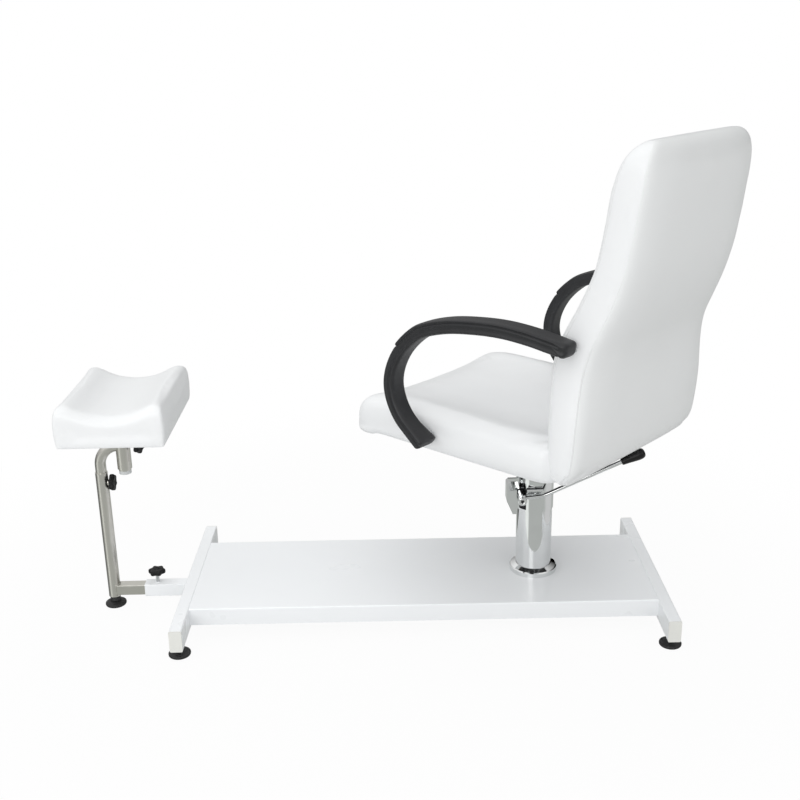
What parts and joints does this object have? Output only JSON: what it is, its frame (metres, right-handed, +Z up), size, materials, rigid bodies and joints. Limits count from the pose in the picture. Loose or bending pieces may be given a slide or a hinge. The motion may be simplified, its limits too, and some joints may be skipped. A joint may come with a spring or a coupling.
{
  "type": "pedicure chair",
  "caption": "Salon pedicure chair with a turning, pump-lifted padded seat, loop arms, a flat steel base and a sliding foot-rest pad on a telescopic post.",
  "frame": {"origin": "middle of the whole chair's footprint, on the floor under the feet", "axes": "+Z up, +X along the base from the foot rest towards the back of the chair, +Y to the right of a sitter whose seat isn't turned"},
  "size_m": [1.4387, 0.794, 1.098],
  "materials": {
    "white_enamel": "gloss white powder coat",
    "cap_plastic": "cream plastic",
    "chrome": "polished",
    "satin_steel": "satin, fine grain",
    "zinc": "zinc plated",
    "cast_steel": "raw casting",
    "dark_paint": "semi-gloss black paint",
    "foot_rubber": "matte black",
    "knob_plastic": "fine satin black",
    "grip_plastic": "glossy black",
    "seal_rubber": "matte black",
    "brass": "machined",
    "white_vinyl": "smooth semi-gloss leatherette",
    "cover_vinyl": "smooth semi-gloss leatherette",
    "plywood": "raw moulded plywood",
    "black_fabric": "thin woven lining",
    "arm_plastic": "satin black polyurethane",
    "clear_plug": "milky translucent"
  },
  "bodies": {
    "base": {"deck_panel": "white_enamel", "front_rail": "white_enamel", "rear_rail": "white_enamel", "rail_end_caps": "cap_plastic", "socket_tube": "white_enamel", "foot_inserts": "zinc", "pump_plate": "dark_paint", "pump_bolts": "zinc", "column_ring": "chrome", "pump_column": "chrome", "pump_head": "chrome", "oil_cylinder": "cast_steel", "ram_gland": "zinc", "lever_bracket": "chrome", "lever_pin": "zinc"},
    "foot_1": {"foot_disc_1": "foot_rubber", "foot_stem_1": "zinc"},
    "foot_2": {"foot_disc_2": "foot_rubber", "foot_stem_2": "zinc"},
    "foot_3": {"foot_disc_3": "foot_rubber", "foot_stem_3": "zinc"},
    "foot_4": {"foot_disc_4": "foot_rubber", "foot_stem_4": "zinc"},
    "foot_5": {"foot_disc_5": "foot_rubber", "foot_stem_5": "zinc"},
    "ram": {"ram_rod": "chrome", "ram_piston": "cast_steel", "piston_seal": "seal_rubber", "thrust_washer": "brass"},
    "seat": {"swivel_plate": "dark_paint", "seat_bolts": "zinc", "plywood_shell": "plywood", "seat_cushion": "white_vinyl", "dust_cover": "black_fabric", "back_cushion": "white_vinyl", "rear_cover": "cover_vinyl", "arm_frame_left": "arm_plastic", "arm_frame_right": "arm_plastic", "arm_pad_left": "arm_plastic", "arm_pad_right": "arm_plastic", "arm_bolts": "zinc"},
    "lever": {"pump_lever": "chrome", "lever_grip": "grip_plastic"},
    "leg": {"slide_tube": "satin_steel", "upright_tube": "satin_steel", "slide_plug": "knob_plastic"},
    "gooseneck": {"gooseneck_tube": "satin_steel", "pad_sleeve": "satin_steel"},
    "pad": {"pad_post": "satin_steel", "post_plug": "clear_plug", "pad_plate": "dark_paint", "pad_board": "plywood", "pad_cushion": "white_vinyl", "pad_screws": "zinc"},
    "reach_clamp": {"reach_knob": "knob_plastic", "reach_screw": "zinc"},
    "height_clamp": {"height_knob": "knob_plastic", "height_screw": "zinc"},
    "turn_clamp": {"turn_knob": "knob_plastic", "turn_screw": "zinc"}
  },
  "joints": [
    {"name": "seat_lift", "type": "slide", "parent": "base", "child": "ram", "axis": [0, 0, 1], "range_m": [0, 0.1]},
    {"name": "seat_turn", "type": "hinge", "parent": "ram", "child": "seat", "pos_m": [0.3181, -0.0034, 0.408], "axis": [0, 0, 1], "continuous": true},
    {"name": "lever_stroke", "type": "hinge", "parent": "base", "child": "lever", "pos_m": [0.2831, -0.0554, 0.274], "axis": [0, 1, 0], "range_deg": [0, 24], "stiffness_Nm_per_rad": 3, "springref_deg": -34.38},
    {"name": "footrest_reach", "type": "slide", "parent": "base", "child": "leg", "axis": [-1, 0, 0], "range_m": [-0.04, 0.1]},
    {"name": "footrest_height", "type": "slide", "parent": "leg", "child": "gooseneck", "axis": [0, 0, 1], "range_m": [-0.015, 0.11]},
    {"name": "footrest_turn", "type": "hinge", "parent": "gooseneck", "child": "pad", "pos_m": [-0.6169, -0.0034, 0.4], "axis": [0, 0, 1], "continuous": true},
    {"name": "reach_clamp_turn", "type": "hinge", "parent": "base", "child": "reach_clamp", "pos_m": [-0.5679, -0.0034, 0.079], "axis": [0, 0, 1], "continuous": true},
    {"name": "height_clamp_turn", "type": "hinge", "parent": "leg", "child": "height_clamp", "pos_m": [-0.6719, -0.0034, 0.314], "axis": [1, 0, 0], "continuous": true},
    {"name": "turn_clamp_turn", "type": "hinge", "parent": "gooseneck", "child": "turn_clamp", "pos_m": [-0.6169, -0.0034, 0.409], "axis": [0.9511, -0.309, 0], "continuous": true},
    {"name": "foot_turn_1", "type": "hinge", "parent": "base", "child": "foot_1", "pos_m": [-0.4799, -0.2314, 0.02], "axis": [0, 0, 1], "continuous": true},
    {"name": "foot_turn_2", "type": "hinge", "parent": "base", "child": "foot_2", "pos_m": [-0.4799, 0.2246, 0.02], "axis": [0, 0, 1], "continuous": true},
    {"name": "foot_turn_3", "type": "hinge", "parent": "base", "child": "foot_3", "pos_m": [0.5921, -0.2314, 0.02], "axis": [0, 0, 1], "continuous": true},
    {"name": "foot_turn_4", "type": "hinge", "parent": "base", "child": "foot_4", "pos_m": [0.5921, 0.2246, 0.02], "axis": [0, 0, 1], "continuous": true},
    {"name": "foot_turn_5", "type": "hinge", "parent": "leg", "child": "foot_5", "pos_m": [-0.6719, -0.0034, 0.02], "axis": [0, 0, 1], "continuous": true}
  ]
}
